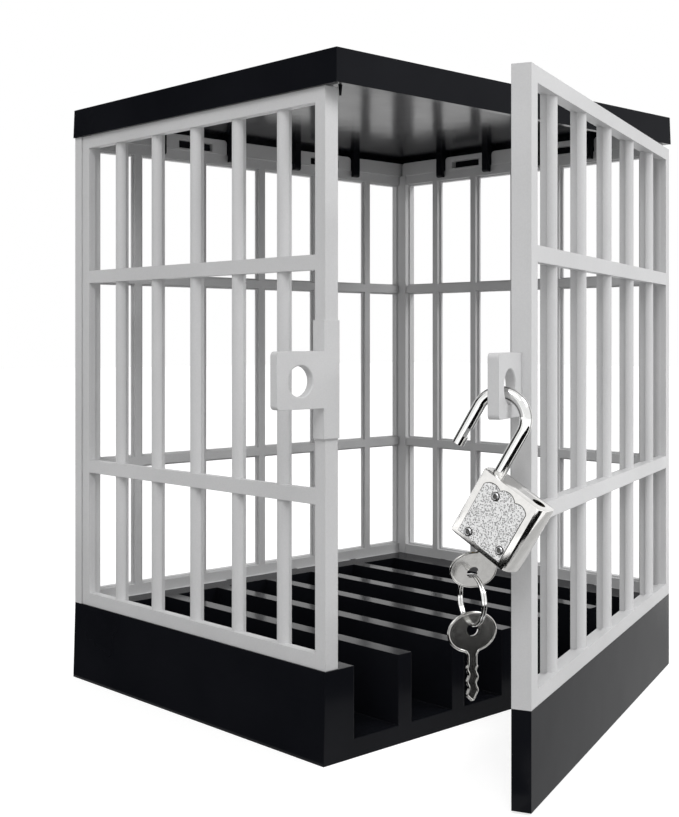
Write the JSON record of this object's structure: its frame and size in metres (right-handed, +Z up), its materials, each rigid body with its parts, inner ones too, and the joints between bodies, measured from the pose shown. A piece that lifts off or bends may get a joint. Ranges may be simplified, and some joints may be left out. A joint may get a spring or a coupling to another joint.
{
  "type": "lockable phone cage",
  "caption": "Barred phone cage with a slotted base, a push-fit roof, a hinged barred door and a keyed padlock on its hasp ears",
  "frame": {"origin": "centre of the base's underside, on the mount rest", "axes": "+Z up; the door side faces -Y and its hinge is at +X; +Y to the back"},
  "size_m": [0.1659, 0.1962, 0.185],
  "materials": {
    "grey_plastic": "smooth satin",
    "black_plastic": "glossy",
    "steel": "plain",
    "chrome": "bright plated",
    "nickel": "bright nickel with a stippled raised panel",
    "plug_nickel": "nickel",
    "key_nickel": "stamped and nickel plated",
    "brass": "turned"
  },
  "bodies": {
    "cage": {"base_tray": "black_plastic", "roof_lid": "black_plastic", "left_panel": "grey_plastic", "right_panel": "grey_plastic", "back_panel": "grey_plastic"},
    "door": {"door_grille": "grey_plastic", "door_skirt": "black_plastic", "hinge_pin_upper": "steel", "hinge_pin_lower": "steel"},
    "shackle_body": {"shackle": "chrome"},
    "clip_body": {"heel_clip": "steel"},
    "lock_body": {"lock_case": "nickel", "face_plate_front": "nickel", "face_plate_back": "nickel", "case_rivets": "steel", "leg_guide": "brass", "plug_barrel": "brass", "shackle_spring": "steel", "latch_spring": "steel"},
    "latch_body": {"latch_bolt": "brass"},
    "plug_body": {"lock_plug": "plug_nickel", "plug_clip": "steel", "lock_wafers": "brass"},
    "key_body": {"key_in_lock": "key_nickel"},
    "ring_body": {"key_ring": "chrome"},
    "spare_key_body": {"key_spare": "key_nickel"}
  },
  "joints": [
    {"name": "door_hinge", "type": "hinge", "parent": "cage", "child": "door", "pos_m": [0.07235, -0.06255, 0.1], "axis": [0, 0, 1], "range_deg": [-21.8, 58.2]},
    {"name": "shackle_swing", "type": "hinge", "parent": "door", "child": "shackle_body", "pos_m": [-0.0723, -0.11814, 0.09229], "axis": [0.9285, 0.3714, 0], "range_deg": [-60, 55]},
    {"name": "case_turn", "type": "hinge", "parent": "shackle_body", "child": "clip_body", "pos_m": [-0.07187, -0.11921, 0.08236], "axis": [-0.1874, 0.4684, -0.8634], "range_deg": [-12, 168]},
    {"name": "case_slide", "type": "slide", "parent": "clip_body", "child": "lock_body", "axis": [0.1874, -0.4684, 0.8634], "range_m": [0, 0.006], "stiffness_N_per_m": 150, "springref_m": -0.002, "deforming": ["shackle_spring"]},
    {"name": "plug_turn", "type": "hinge", "parent": "lock_body", "child": "plug_body", "pos_m": [-0.07474, -0.1155, 0.06264], "axis": [0.1874, -0.4684, 0.8634], "range_deg": [-66.1, 0]},
    {"name": "latch_slide", "type": "slide", "parent": "lock_body", "child": "latch_body", "axis": [0.1206, -0.8613, -0.4935], "range_m": [0, 0.00112], "deforming": ["latch_spring"]},
    {"name": "key_slide", "type": "slide", "parent": "plug_body", "child": "key_body", "axis": [-0.1874, 0.4684, -0.8634], "range_m": [0, 0.0115]},
    {"name": "ring_swing", "type": "hinge", "parent": "key_body", "child": "ring_body", "pos_m": [-0.0759, -0.11262, 0.05733], "axis": [0.2863, 0.8668, 0.4082], "range_deg": [-25, 25]},
    {"name": "spare_key_swing", "type": "hinge", "parent": "ring_body", "child": "spare_key_body", "pos_m": [-0.0759, -0.11262, 0.04426], "axis": [0.3137, 0.9495, 0], "range_deg": [-35, 35]}
  ],
  "couplings": [
    {"joint": "plug_turn", "follows": "latch_slide", "rad_per_m": -1025.7}
  ]
}
